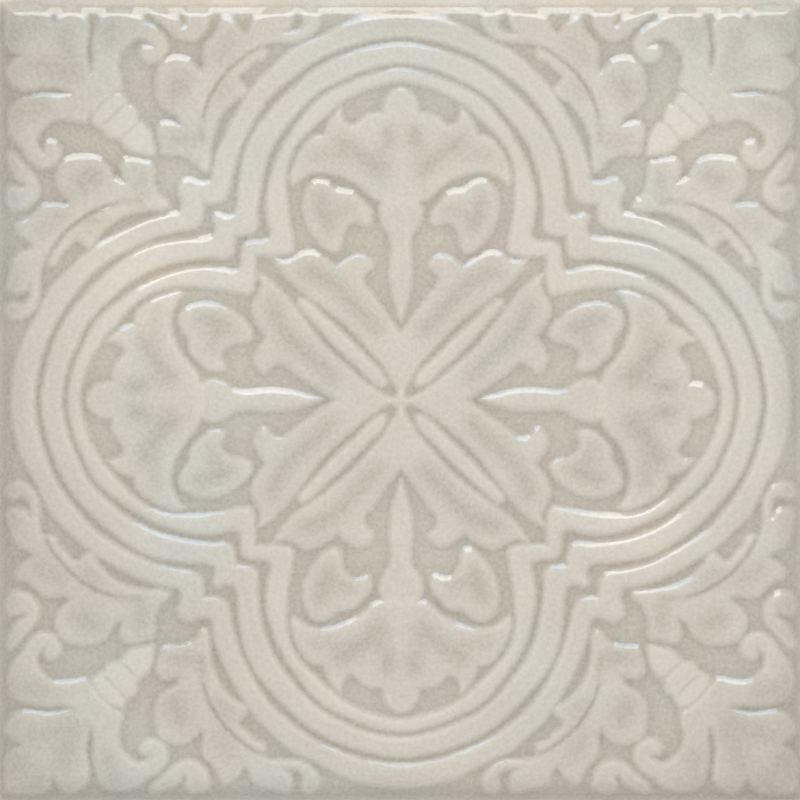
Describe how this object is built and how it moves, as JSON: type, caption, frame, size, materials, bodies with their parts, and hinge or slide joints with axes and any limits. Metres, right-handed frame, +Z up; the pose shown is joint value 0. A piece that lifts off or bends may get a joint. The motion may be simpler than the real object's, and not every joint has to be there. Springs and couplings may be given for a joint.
{
  "type": "relief wall tile",
  "caption": "Square glazed ceramic wall tile with a raised barbed quatrefoil and leaf ornament on its face and a flat back for the adhesive bed",
  "frame": {"origin": "middle of the tile's back, on the surface that it lies on", "axes": "+Z up, out of the decorated face; +Y towards the top edge of the picture and +X towards its right edge, both square to the tile's sides"},
  "size_m": [0.148, 0.148, 0.009],
  "materials": {
    "glaze": "glossy off-white glaze, greyer where it pools and paler on the raised edges"
  },
  "bodies": {
    "root": {"relief_tile": "glaze"}
  },
  "joints": []
}
